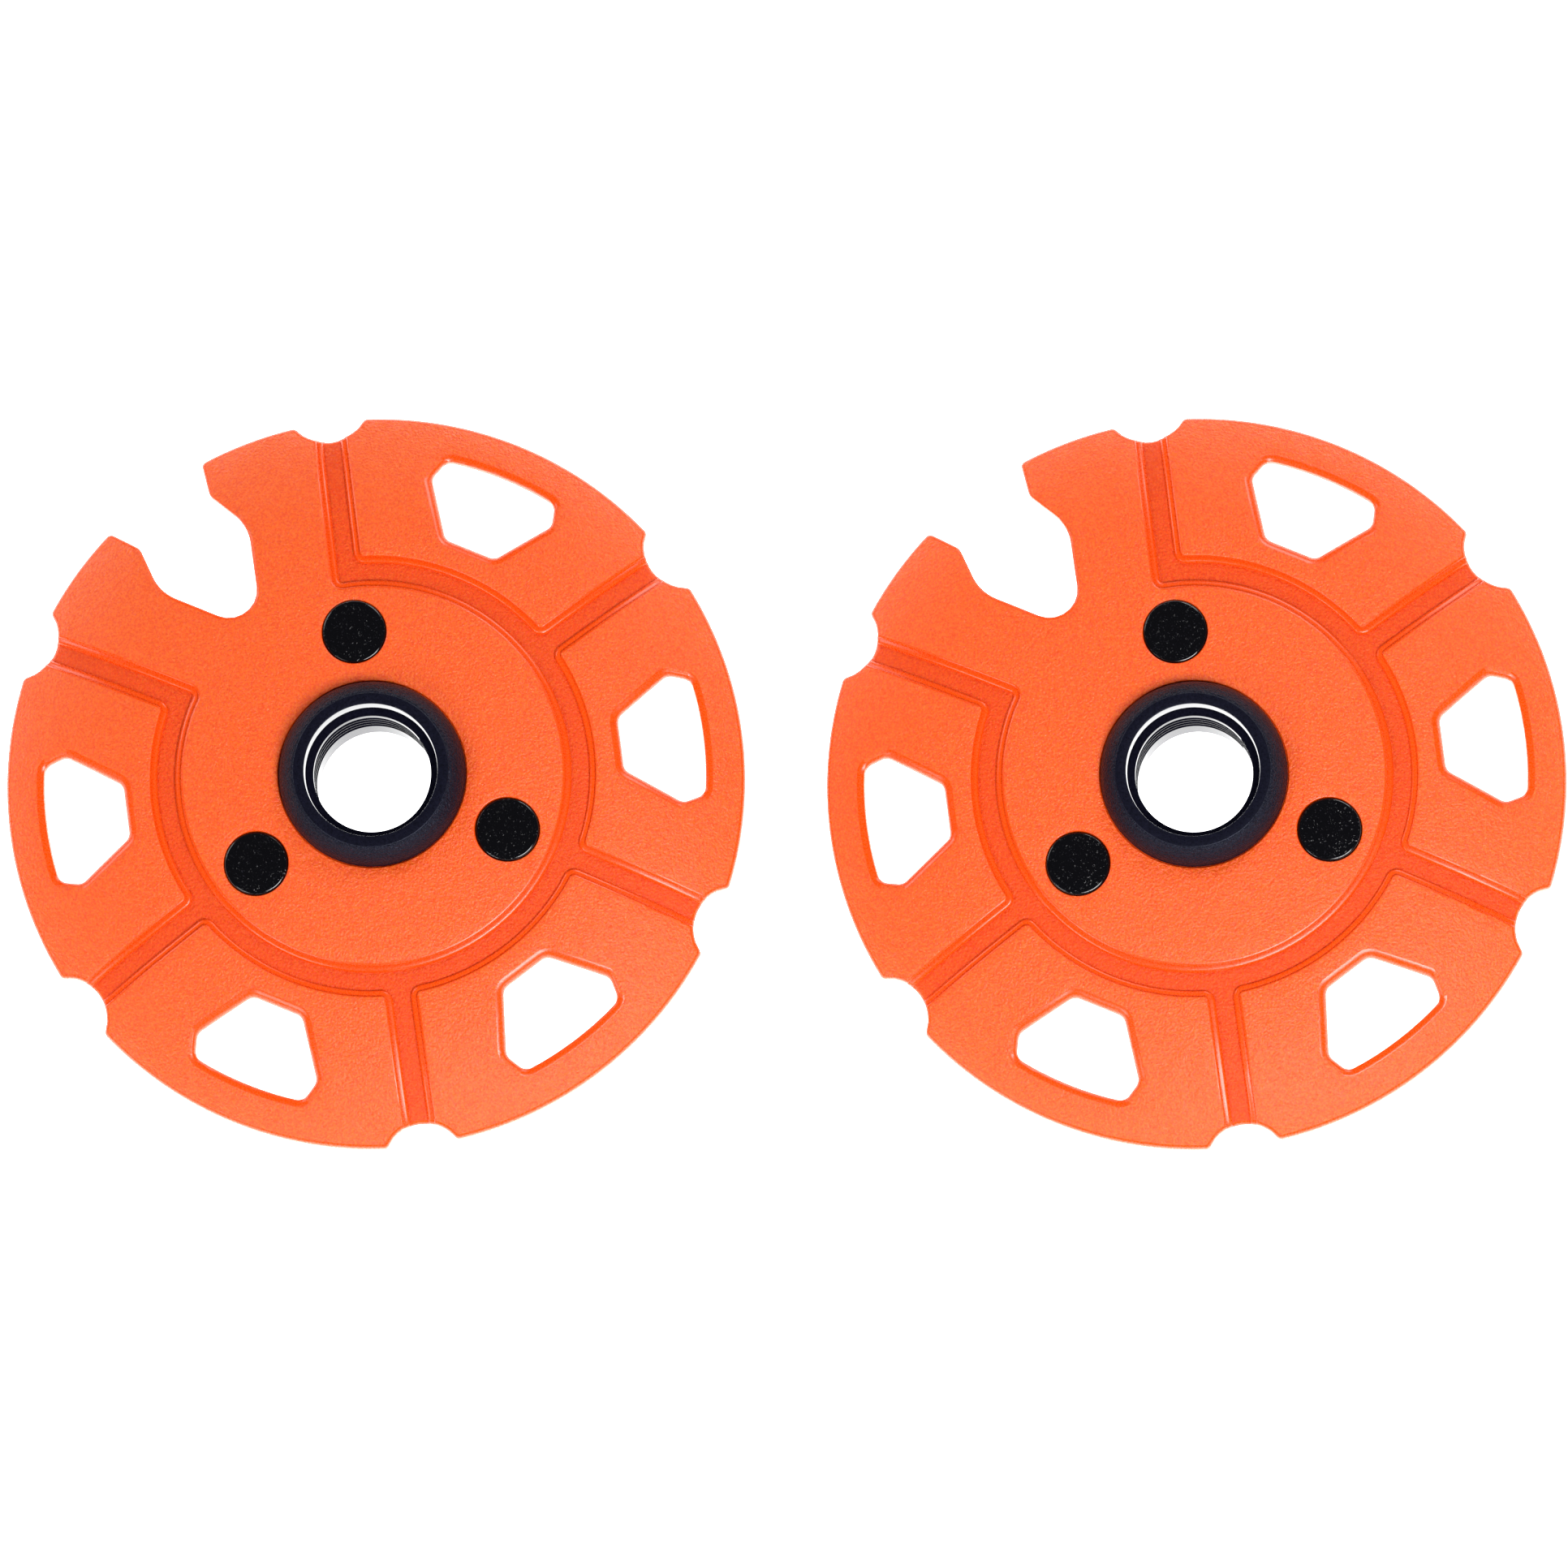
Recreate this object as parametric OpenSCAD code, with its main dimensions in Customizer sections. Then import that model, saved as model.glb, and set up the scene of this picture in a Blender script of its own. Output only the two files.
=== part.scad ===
// A pair of screw-on snow baskets for touring poles, lying side by side.
// Each basket is a domed disc with a threaded hub, a retaining ring and three magnets.

/* [Pair] */
// Gap between the rims of the two baskets
pair_gap = 11; // [4:1:60]
// How far each basket is turned about its own axis
basket_turn = 37.85; // [0:0.05:60]

/* [Disc] */
// Outer diameter of the disc
disc_d = 100; // [96:1:124]
// Wall thickness, measured straight down
wall_t = 2.0; // [1.8:0.1:2.8]
// Radius of the shallow dome that carries the hub
dome_r = 250; // [200:5:400]
// Width of the band along the rim that curves down
rim_band = 16; // [12:0.5:20]
// Radius of the arc of that band
rim_arc_r = 46; // [40:1:70]

/* [Channels] */
// Width of the channels at the top
channel_w = 4.0; // [3:0.1:5]
// Width of the ledge along each side of a channel
ledge_w = 0.8; // [0.4:0.1:1]
// Depth of the ledge
ledge_depth = 0.45; // [0.3:0.05:0.6]
// Depth of the channel's floor
floor_depth = 1.0; // [0.8:0.05:1.2]
// Radius of the panels' upper corners
panel_corner_r = 0.8; // [0.4:0.1:1.2]
// Radius where the notch panel runs into the plateau
web_corner_r = 1.4; // [1.2:0.1:2]
// Height of the ribs below the channels
rib_h = 1.0; // [0.5:0.1:1.5]
// Distance from the rim at which the ribs stop
rib_margin = 4.5; // [4:0.5:8]

/* [Windows] */
// Wall between the ring channel and the windows
window_inset = 3.7; // [2.5:0.1:4.5]
// Wall between the windows and the rim
window_margin = 5.3; // [4:0.1:7]
// Half the width of a window's inner edge
window_inner_half = 3.6; // [2:0.1:4.5]
// Half the width of a window at its widest
window_wide_half = 8.75; // [7:0.05:10]
// Half the width of a window's outer edge
window_outer_half = 7.9; // [6:0.05:9]
// Distance of the widest place from the window's outer edge
window_shoulder = 3.7; // [2.5:0.1:4.5]
// Corner radius of the windows
window_corner_r = 1.5; // [0.6:0.1:1.8]

/* [Rim] */
// Radius of the scallops
scallop_r = 5.75; // [4:0.05:7]
// Depth of the scallops
scallop_depth = 2.85; // [1.5:0.05:4]
// Radius of the round end of the notch
notch_end_r = 3.7; // [2.5:0.1:4.2]
// Distance of the notch's end from the rim
notch_depth = 21.5; // [16:0.1:22]
// Angle between each notch wall and the notch's middle line
notch_wall_angle = 29; // [24:1:36]
// Distance of the notch's widest place from the rim
notch_pocket_inset = 12; // [9:0.1:13]
// Corner radius at the notch's widest place
notch_pocket_r = 6.4; // [3:0.1:8]
// Half the width of the notch's neck
notch_neck_half = 5.9; // [4:0.05:6.5]
// Distance of the neck from the rim
notch_neck_inset = 5.2; // [4:0.1:7]
// Corner radius at the neck
notch_neck_r = 2.0; // [1:0.1:3]
// Half the width of the notch's mouth
notch_mouth_half = 8.05; // [6:0.05:9]

/* [Hub] */
// How far the hub reaches below the rim
hub_below = 4.5; // [0:0.1:8]
// Radius inside the hub's thread, over the crests
thread_minor_r = 7.95; // [6:0.05:10]
// Wall of the hub's tube, outside the crests
tube_wall = 2.05; // [1.9:0.05:3]
// How far the flange stands out past the tube
flange_lip = 2.65; // [2:0.05:4]
// Height of the flange
flange_h = 3.9; // [3:0.1:5]
// Width of the flat ring on top of the flange
top_ring_w = 1.5; // [1:0.1:2]
// Radius that the smooth entry is larger than the thread
entry_step = 1.1; // [0.5:0.05:1.2]
// Depth of the smooth entry
entry_depth = 3.0; // [2:0.1:4]
// Depth of the flat seat under the flange
seat_depth = 0.3; // [0.2:0.05:0.6]
// Width of the two keys that stop the hub turning
key_w = 3.0; // [2:0.1:4]
// Height of the keys on the tube
key_h = 1.2; // [0.8:0.1:1.5]

/* [Retaining ring] */
// Thickness of the ring
ring_t = 1.2; // [1:0.1:1.5]
// Width of the ring
ring_w = 2.6; // [2:0.1:3]
// Depth of the ring's groove in the tube
ring_groove = 0.5; // [0.3:0.05:0.6]
// Angle of the gap between the ring's ends
ring_gap_angle = 42; // [30:1:60]
// Radius of the ring's lugs
lug_r = 2.2; // [1.8:0.1:2.6]
// Radius of the plier holes in the lugs
lug_hole_r = 1.0; // [0.6:0.1:1.2]
// Height of the ring above the table
ring_z = 6; // [1.5:0.1:8]

/* [Magnets] */
// Diameter of the magnets
magnet_d = 8.6; // [6:0.1:10.5]
// Thickness of the magnets
magnet_t = 3.0; // [2:0.1:3.5]
// Chamfer along a magnet's edges
magnet_chamfer = 0.3; // [0.1:0.05:0.5]
// Wall between the flange and the magnets
magnet_gap = 2.8; // [2:0.1:5]
// Wall between the magnets and the ring channel
plateau_margin = 2.0; // [1.5:0.1:4]
// Wall around and below a magnet's pocket
pocket_wall = 1.3; // [1:0.1:2]

/* [Fits] */
// Clearance around the magnets and the hub's tube
slip = 0.05; // [0.02:0.01:0.1]
// Clearance around the keys
key_slip = 0.15; // [0.1:0.05:0.3]

/* [Hidden] */
$fn = 96;
fine_fn = 720;
eps = 0.02;
sectors = 6;
sector_angle = 360 / sectors;
notch_angle = 90;
corner_steps = 5;
arc_steps = 10;
tall = 60;

disc_r = disc_d / 2;
tube_r = thread_minor_r + tube_wall;
flange_r = tube_r + flange_lip;
entry_r = thread_minor_r + entry_step;
magnet_r = magnet_d / 2;
magnet_orbit = flange_r + magnet_gap + magnet_r;
ring_in_r = magnet_orbit + magnet_r + plateau_margin;
ring_out_r = ring_in_r + channel_w;
beyond_r = disc_r + 12;

// The dome and the rim band are two arcs that run into each other at the knee.
knee_r = disc_r - rim_band;
knee_sin = knee_r / dome_r;
knee_cos = sqrt(1 - knee_sin * knee_sin);
arc_x = knee_r - rim_arc_r * knee_sin;
function arc_drop(r) = rim_arc_r * knee_cos - sqrt(rim_arc_r * rim_arc_r - (r - arc_x) * (r - arc_x));
knee_z = hub_below + wall_t + arc_drop(disc_r);
function top_z(r) = r > knee_r
    ? knee_z - arc_drop(r)
    : knee_z + sqrt(dome_r * dome_r - r * r) - dome_r * knee_cos;

seat_r = flange_r + 0.25;
seat_z = top_z(flange_r) - seat_depth;
hub_top_z = seat_z + flange_h;
ring_seat_z = ring_z + ring_t;
boss_r = tube_r - ring_groove + ring_w + pocket_wall;
magnet_z = top_z(magnet_orbit) - magnet_t;

// Points of an outline whose corners [x, y, radius] are rounded.
function unit(v) = v / norm(v);
function corner_arc(a, b, c, r) =
    let (u = unit(a - b), w = unit(c - b), half = acos(u * w) / 2)
    let (reach = r / tan(half), mid = unit(u + w) * r / sin(half), centre = b + mid)
    let (start = b + u * reach - centre, stop = b + w * reach - centre)
    let (turn = atan2(start[0] * stop[1] - start[1] * stop[0], start * stop))
    [for (i = [0 : corner_steps])
        let (t = turn * i / corner_steps)
        centre + [start[0] * cos(t) - start[1] * sin(t), start[0] * sin(t) + start[1] * cos(t)]];
function flat(p) = [p[0], p[1]];
function rounded(pts) = [for (i = [0 : len(pts) - 1])
    let (n = len(pts), a = flat(pts[(i + n - 1) % n]), b = flat(pts[i]), c = flat(pts[(i + 1) % n]))
    each (pts[i][2] > 0 ? corner_arc(a, b, c, pts[i][2]) : [b])];
function arc_points(r, from, to) = [for (i = [0 : arc_steps])
    let (t = from + (to - from) * i / arc_steps) [r * cos(t), r * sin(t), 0]];

// The solid under the dome's top surface, lowered by drop.
module under_dome(drop, reach) {
    rotate_extrude($fn = 180)
        intersection() {
            translate([0, -drop]) {
                intersection() {
                    translate([0, knee_z - dome_r * knee_cos]) circle(r = dome_r, $fn = fine_fn);
                    square([knee_r, tall]);
                }
                intersection() {
                    translate([arc_x, knee_z - rim_arc_r * knee_cos]) circle(r = rim_arc_r, $fn = fine_fn);
                    translate([knee_r, -tall]) square([reach - knee_r, 2 * tall]);
                }
            }
            square([reach, tall]);
        }
}

// One panel between two channels, pointing along +X; grow widens it to the edge of its ledge.
module panel_outline(grow) {
    half_w = channel_w / 2 - grow;
    r = ring_out_r - grow;
    corner_r = panel_corner_r + grow;
    half = sector_angle / 2;
    start = half - asin(half_w / r);
    clear = asin(2.2 * corner_r / r);
    far = [beyond_r * cos(half) + half_w * sin(half), beyond_r * sin(half) - half_w * cos(half)];
    polygon(rounded(concat(
        [[far[0], -far[1], 0], [r * cos(start), -r * sin(start), corner_r]],
        arc_points(r, -start + clear, start - clear),
        [[r * cos(start), r * sin(start), corner_r], [far[0], far[1], 0]])));
}

// The panel with the notch, pointing along +X, with its fillets into the plateau.
module notch_panel_outline(grow) {
    half_w = channel_w / 2 - grow;
    half = sector_angle / 2;
    side_y = half_w / cos(half);
    polygon([
        [0, -side_y], [beyond_r * cos(half), -beyond_r * sin(half) + side_y],
        [beyond_r * cos(half), beyond_r * sin(half) - side_y], [0, side_y]
    ]);
    for (side = [-1, 1]) mirror([0, side > 0 ? 0 : 1]) rotate(half) web_fillet(grow);
}

// Fills the corner between the plateau and the notch panel, beside a spoke along +X.
module web_fillet(grow) {
    line_y = grow - channel_w / 2;
    r = ring_in_r + grow;
    f = web_corner_r - grow;
    centre = [sqrt((r + f) * (r + f) - (line_y + f) * (line_y + f)), line_y + f];
    from = 270;
    to = 180 + atan2(centre[1], centre[0]);
    inside = centre * r / (r + f) * 0.97;
    polygon(concat(
        [inside, [inside[0], line_y - f], [centre[0], line_y - f]],
        [for (i = [0 : corner_steps])
            let (t = from + (to - from) * i / corner_steps) centre + f * [cos(t), sin(t)]]));
}

// Everything that stands above the channels, in plan.
module raised_outline(grow) {
    circle(r = ring_in_r + grow);
    rotate(notch_angle) notch_panel_outline(grow);
    for (i = [1 : sectors - 1])
        rotate(notch_angle + i * sector_angle) panel_outline(grow);
}

// Cuts the channels down to one depth.
module channel_cut(grow, depth) {
    difference() {
        linear_extrude(tall / 2) difference() {
            circle(r = beyond_r - 2);
            raised_outline(grow);
        }
        under_dome(depth, beyond_r);
    }
}

// One window, pointing along +X.
module window_outline() {
    in_r = ring_out_r + window_inset;
    out_r = disc_r - window_margin;
    half_angle = asin(window_outer_half / out_r);
    clear = asin(1.6 * window_corner_r / out_r);
    polygon(rounded(concat(
        [[in_r, -window_inner_half, window_corner_r],
         [out_r - window_shoulder, -window_wide_half, window_corner_r],
         [out_r * cos(half_angle), -window_outer_half, window_corner_r]],
        arc_points(out_r, clear - half_angle, half_angle - clear),
        [[out_r * cos(half_angle), window_outer_half, window_corner_r],
         [out_r - window_shoulder, window_wide_half, window_corner_r],
         [in_r, window_inner_half, window_corner_r]])));
}

// The notch that opens through the rim, pointing along +X.
module notch_outline() {
    tip_x = disc_r - notch_depth + notch_end_r - notch_end_r / sin(notch_wall_angle);
    pocket_x = disc_r - notch_pocket_inset;
    pocket_half = (pocket_x - tip_x) * tan(notch_wall_angle);
    neck_x = disc_r - notch_neck_inset;
    flare = (notch_mouth_half - notch_neck_half) / notch_neck_inset;
    far_half = notch_neck_half + flare * (beyond_r - neck_x);
    polygon(rounded([
        [tip_x, 0, notch_end_r],
        [pocket_x, -pocket_half, notch_pocket_r], [neck_x, -notch_neck_half, notch_neck_r],
        [beyond_r, -far_half, 0], [beyond_r, far_half, 0],
        [neck_x, notch_neck_half, notch_neck_r], [pocket_x, pocket_half, notch_pocket_r]
    ]));
}

module at_spokes() {
    for (i = [0 : sectors - 1]) rotate(i * sector_angle) children();
}

// The magnets sit in line with every second spoke.
module at_magnet(i) {
    rotate((2 * i - 1) * sector_angle) translate([magnet_orbit, 0, 0]) children();
}

// Ribs that follow the channels on the underside.
module underside_ribs() {
    rib_end_r = disc_r - rib_margin;
    difference() {
        intersection() {
            under_dome(wall_t / 2, rib_end_r);
            linear_extrude(tall / 2) difference() {
                circle(r = rib_end_r);
                raised_outline(0);
            }
        }
        under_dome(wall_t + rib_h, beyond_r);
    }
}

// Bosses around the hub and below the pockets.
module bosses() {
    intersection() {
        under_dome(wall_t / 2, disc_r);
        union() {
            translate([0, 0, ring_seat_z]) cylinder(r = boss_r, h = tall / 2);
            for (i = [1 : 3]) at_magnet(i)
                translate([0, 0, magnet_z - pocket_wall]) cylinder(r = magnet_r + pocket_wall, h = tall / 2);
        }
    }
}

module disc() {
    color("orangered") difference() {
        union() {
            difference() {
                under_dome(0, disc_r);
                under_dome(wall_t, beyond_r);
            }
            underside_ribs();
            bosses();
        }
        channel_cut(0, ledge_depth);
        channel_cut(ledge_w, floor_depth);
        translate([0, 0, -1]) linear_extrude(tall / 2) {
            for (i = [1 : sectors - 1]) rotate(notch_angle + i * sector_angle) window_outline();
            rotate(notch_angle) notch_outline();
        }
        at_spokes() translate([disc_r - scallop_depth + scallop_r, 0, -1])
            cylinder(r = scallop_r, h = tall / 2);
        for (i = [1 : 3]) at_magnet(i)
            translate([0, 0, magnet_z]) cylinder(r = magnet_r + slip, h = tall / 2);
        translate([0, 0, seat_z]) cylinder(r = seat_r, h = tall / 2);
        translate([0, 0, -1]) cylinder(r = tube_r + slip, h = tall / 2);
        keys(key_slip);
    }
}

// Two keys on the tube, or with room around them the slots that take them.
module keys(room) {
    for (side = [0, 180]) rotate(side)
        translate([tube_r - key_h, -key_w / 2 - room, ring_seat_z + (room > 0 ? -1 : 1)])
            cube([2 * key_h + room, key_w + 2 * room, seat_z - ring_seat_z - (room > 0 ? -2 : 1)]);
}

// The hub's outer shape: tube, rounded flange and flat top ring.
module hub_body() {
    ring_r = entry_r + top_ring_w;
    step = flange_r - ring_r;
    round_r = (flange_h * flange_h + step * step) / (2 * step);
    rotate_extrude() {
        square([tube_r, hub_top_z]);
        translate([0, seat_z]) intersection() {
            translate([flange_r - round_r, 0]) circle(r = round_r, $fn = 360);
            square([flange_r, flange_h]);
        }
        translate([0, seat_z]) square([flange_r - round_r, flange_h]);
    }
}

module hub() {
    color("black") difference() {
        union() {
            hub_body();
            difference() {
                keys(0);
                translate([0, 0, -1]) cylinder(r = tube_r - key_h / 2, h = tall / 2);
            }
        }
        translate([0, 0, -1]) cylinder(r = thread_minor_r, h = tall);
        translate([0, 0, hub_top_z - entry_depth]) cylinder(r = entry_r, h = tall);
        translate([0, 0, hub_top_z - entry_depth - entry_step])
            cylinder(r1 = thread_minor_r, r2 = entry_r, h = entry_step + eps);
        translate([0, 0, ring_z - slip]) difference() {
            cylinder(r = tube_r + 1, h = ring_t + 2 * slip);
            translate([0, 0, -1]) cylinder(r = tube_r - ring_groove, h = ring_t + 3);
        }
    }
}

// A split ring with two lugs, which grips the groove in the tube.
module retaining_ring() {
    in_r = tube_r - ring_groove + slip;
    lug_orbit = in_r + ring_w / 2 + lug_r / 2;
    half_gap = ring_gap_angle / 2;
    lug_angle = half_gap + asin(lug_r / lug_orbit) * 0.8;
    color("dimgray") translate([0, 0, ring_z]) difference() {
        union() {
            cylinder(r = in_r + ring_w, h = ring_t);
            for (side = [-1, 1]) rotate(notch_angle + side * lug_angle)
                translate([lug_orbit, 0, 0]) cylinder(r = lug_r, h = ring_t);
        }
        translate([0, 0, -1]) cylinder(r = in_r, h = ring_t + 2);
        rotate(notch_angle) translate([0, 0, -1]) linear_extrude(ring_t + 2)
            polygon([[0, 0], [beyond_r, -beyond_r * tan(half_gap)], [beyond_r, beyond_r * tan(half_gap)]]);
        for (side = [-1, 1]) rotate(notch_angle + side * lug_angle)
            translate([lug_orbit, 0, -1]) cylinder(r = lug_hole_r, h = ring_t + 2);
    }
}

module magnet(i) {
    c = magnet_chamfer;
    color("dimgray") at_magnet(i) translate([0, 0, magnet_z])
        rotate_extrude() polygon([
            [0, 0], [magnet_r - c, 0], [magnet_r, c],
            [magnet_r, magnet_t - c], [magnet_r - c, magnet_t], [0, magnet_t]
        ]);
}

// Puts one piece into its basket: side is -1 for the left one and 1 for the right one.
module placed(side) {
    translate([side * (disc_d + pair_gap) / 2, 0, 0]) rotate(basket_turn) children();
}

placed(-1) disc();  // left_disc
placed(-1) hub();  // left_hub
placed(-1) retaining_ring();  // left_retaining_ring
placed(-1) magnet(1);  // left_magnet_1
placed(-1) magnet(2);  // left_magnet_2
placed(-1) magnet(3);  // left_magnet_3
placed(1) disc();  // right_disc
placed(1) hub();  // right_hub
placed(1) retaining_ring();  // right_retaining_ring
placed(1) magnet(1);  // right_magnet_1
placed(1) magnet(2);  // right_magnet_2
placed(1) magnet(3);  // right_magnet_3
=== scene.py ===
import math

import bpy
from mathutils import Matrix, Vector


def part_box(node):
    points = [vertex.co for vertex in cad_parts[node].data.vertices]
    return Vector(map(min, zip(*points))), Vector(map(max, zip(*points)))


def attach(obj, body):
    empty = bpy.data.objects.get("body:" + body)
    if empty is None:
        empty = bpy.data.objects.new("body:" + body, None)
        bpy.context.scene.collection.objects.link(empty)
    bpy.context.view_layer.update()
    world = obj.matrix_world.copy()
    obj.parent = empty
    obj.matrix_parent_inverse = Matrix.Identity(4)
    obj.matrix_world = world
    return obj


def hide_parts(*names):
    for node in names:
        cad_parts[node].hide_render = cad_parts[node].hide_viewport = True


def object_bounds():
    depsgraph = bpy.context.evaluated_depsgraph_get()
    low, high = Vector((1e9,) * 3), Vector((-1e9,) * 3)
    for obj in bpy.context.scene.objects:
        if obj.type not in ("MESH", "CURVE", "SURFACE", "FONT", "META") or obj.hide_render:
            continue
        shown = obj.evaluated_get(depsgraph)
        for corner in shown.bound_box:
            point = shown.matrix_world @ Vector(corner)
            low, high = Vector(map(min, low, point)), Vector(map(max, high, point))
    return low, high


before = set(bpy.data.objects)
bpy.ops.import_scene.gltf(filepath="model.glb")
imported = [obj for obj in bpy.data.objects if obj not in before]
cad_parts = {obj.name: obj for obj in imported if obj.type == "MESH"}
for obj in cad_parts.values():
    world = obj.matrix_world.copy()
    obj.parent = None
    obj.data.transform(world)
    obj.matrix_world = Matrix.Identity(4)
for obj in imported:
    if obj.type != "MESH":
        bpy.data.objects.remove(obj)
CAD_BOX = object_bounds()

# Two powder baskets for touring poles. Each piece is modelled once, about the basket's own axis and in
# millimetres until it becomes a mesh, and is then copied to the left and the right basket.

MM = 0.001


def size_of(node):
    """The node's length, width and height, in millimetres."""
    low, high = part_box(node)
    return (high - low) / MM


def middle_of(node):
    """The middle of the node's box, in metres."""
    low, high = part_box(node)
    return (low + high) / 2


# Sizes that the frame gives; all but PITCH and MAGNET_ARM are in millimetres
PITCH = (middle_of("right_disc") - middle_of("left_disc")).x
DISC_R = size_of("left_disc").x / 2
FLANGE_R = size_of("left_hub").x / 2
HUB_TOP = size_of("left_hub").z
HUB_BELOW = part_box("left_disc")[0].z / MM
MAGNET_R = size_of("left_magnet_1").x / 2
MAGNET_T = size_of("left_magnet_1").z
MAGNET_ARM = middle_of("left_magnet_1") - middle_of("left_hub")
MAGNET_ORBIT = MAGNET_ARM.xy.length / MM
MAGNET_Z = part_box("left_magnet_1")[0].z / MM
CLIP_T = size_of("left_retaining_ring").z
CLIP_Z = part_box("left_retaining_ring")[0].z / MM

# How the basket is laid out: six spokes, the first along +X, and the notch halfway between the second and
# the third
SECTORS = 6
SECTOR = 360 / SECTORS
NOTCH_AT = 90
TURN = math.degrees(math.atan2(MAGNET_ARM.y, MAGNET_ARM.x)) - SECTOR

# The disc
WALL = 2.0
DOME_R = 250
RIM_BAND = 16
RIM_ARC_R = 46
KNEE_R = DISC_R - RIM_BAND
SEAT_DEPTH = 0.45
SEAT_GAP = 0.12
BORE_GAP = 0.05
CUP_WALL = 1.3
POCKET_GAP = 0.08
POCKET_SPARE = 0.4

# The cutters: how far from the axis they reach, how far they stand past the piece, and how deep the bore's goes
BEYOND = DISC_R + 8
CUT_MARGIN = 1
BORE_CUT = 12

# The channels
CHANNEL_W = 4.0
LEDGE_W = 0.8
LEDGE_DEPTH = 0.45
FLOOR_DEPTH = 1.0
PLATEAU_R = MAGNET_ORBIT + MAGNET_R + 2.0
PANEL_R = PLATEAU_R + CHANNEL_W
PANEL_CORNER = 0.8
WEB_CORNER = 1.4
RIB_H = 1.0
RIB_END_R = DISC_R - 4.5

# Windows, scallops and notch; an _X is measured from the axis along the middle of the notch
WINDOW_IN_R = PANEL_R + 3.7
WINDOW_OUT_R = DISC_R - 5.3
WINDOW_SHOULDER = 3.7
WINDOW_HALVES = (3.6, 8.75, 7.9)
WINDOW_CORNER = 1.5
SCALLOP_R = 5.75
SCALLOP_DEPTH = 2.85
RIM_CORNER = 0.8
NOTCH_TIP_X = DISC_R - 21.5
NOTCH_TIP_CORNER = 3.7
NOTCH_WALL_ANGLE = 29
NOTCH_POCKET_X = DISC_R - 12
NOTCH_POCKET_CORNER = 6.4
NOTCH_NECK_X = DISC_R - 5.2
NOTCH_NECK_HALF = 5.9
NOTCH_NECK_CORNER = 2.0
NOTCH_MOUTH_HALF = 8.05

# The outlines' arcs: how far apart their points are, in degrees, and how far they stop short of a corner,
# in degrees for the scallops and the rim, and in the corner's radii for the others
RIM_STEP = 1.5
CHANNEL_STEP = 2
SCALLOP_CLEAR = 16
RIM_CLEAR = 1.9
WEB_CLEAR, PANEL_CLEAR, WINDOW_CLEAR = 2, 1.8, 1.6

# The square grid that lets the flat disc bend: its spacing, and its offset as a share of that
GRID = 2.5
GRID_SHIFT = 0.37

# Roundings along the disc's edges; a step's is a share of its height
RIM_ROUNDING = 0.45
WINDOW_ROUNDING = 1.1
STEP_ROUNDING = 0.8
POCKET_ROUNDING = 0.15
UNDERSIDE_ROUNDING = 0.3

# The hub
THREAD_MINOR_R = 7.95
THREAD_DEPTH = 0.62
THREAD_PITCH = 1.75
THREAD_CREST = 0.15
THREAD_ROOT = 0.16
TUBE_R = THREAD_MINOR_R + 2.05
ENTRY_R = THREAD_MINOR_R + 1.1
ENTRY_DEPTH = 2.8
ENTRY_DRAFT = 7
SMOOTH_BORE = 4.6
TOP_RING_R = ENTRY_R + 1.5
FLANGE_H = 3.9
SEAT_Z = HUB_TOP - FLANGE_H
RING_ROUNDING = 0.1
LIP_ROUNDING = 0.25
FOOT_ROUNDING = 0.4
HUB_STEPS = 160
THREAD_STEPS = 96

# The retaining ring and the magnets
CLIP_GROOVE = 0.5
CLIP_PLAY = 0.05
CLIP_W = 2.6
CLIP_GAP = 42
CLIP_LUG_R = 2.2
CLIP_LUG_OVERLAP = 0.8
CLIP_HOLE_R = 1.0
CLIP_ROUNDING = 0.1
CLIP_OUT_R = TUBE_R - CLIP_GROOVE + CLIP_W
CLIP_BEYOND = 40
BOSS_R = CLIP_OUT_R + 1.3
MAGNET_ROUNDING = 0.34

# How near a face has to be to count, in millimetres, and how near its slope has to be to the dome's
NEAR = 0.05
CREST_NEAR = 0.01
LIP_NEAR = 0.2
SLOPE_NEAR = 0.03
SLOPE_RUN = 0.1

# How deep the orange's grain is on grained and on smooth faces, in metres, and the limit between the two
MOULDED_GRAIN, SMOOTH_GRAIN, GRAIN_LIMIT = 0.0002, 0.00001, 0.00005

# The share by which the orange varies on grained and on smooth faces
GRAINED_SHARE, SMOOTH_SHARE = 0.3, 0.06

# How fine each pattern of the surfaces is, in grains to the metre
SPECKLE = 3300
SPARK_GRAIN = 2800
WAVES = 700
SHEEN_PATCHES = 3600
BLACK_CLOUD = 2400
BLACK_GRAIN = 3000
BLACK_SHEEN_PATCHES = 3800
DUST = 5200
PITS = 2600
STEEL_CLOUD = 900
STEEL_GRAIN = 3000

# Refractive index of plain and of polished black plastic
PLAIN_INDEX, POLISHED_INDEX = 1.5, 2.1

# The lamps: their distance in metres, and each one's azimuth and elevation in degrees, width in metres and
# power in watts
LAMP_DISTANCE = 0.8
LAMPS = {
    "key": (308, 55, 0.35, 6.4),
    "fill": (230, 36, 0.3, 1.9),
    "back": (65, 36, 0.3, 2.0),
    "left": (150, 32, 0.3, 1.5),
}

# The camera: its lean in degrees, its distance and the width it takes in, both in metres, and where along X
# it aims, in millimetres
LEAN_FRONT, LEAN_RIGHT = 9.3, 3.2
CAMERA_DISTANCE, FRAME_WIDTH = 5.0, 0.2118
AIM_X = -0.3


# ---------------------------------------------------------------- modelling helpers

def deselect():
    """Leaves edit mode and selects nothing."""
    if bpy.context.mode != "OBJECT":
        bpy.ops.object.mode_set(mode="OBJECT")
    bpy.ops.object.select_all(action="DESELECT")


def pick(piece):
    """Selects this piece alone."""
    deselect()
    piece.select_set(True)
    bpy.context.view_layer.objects.active = piece


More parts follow.
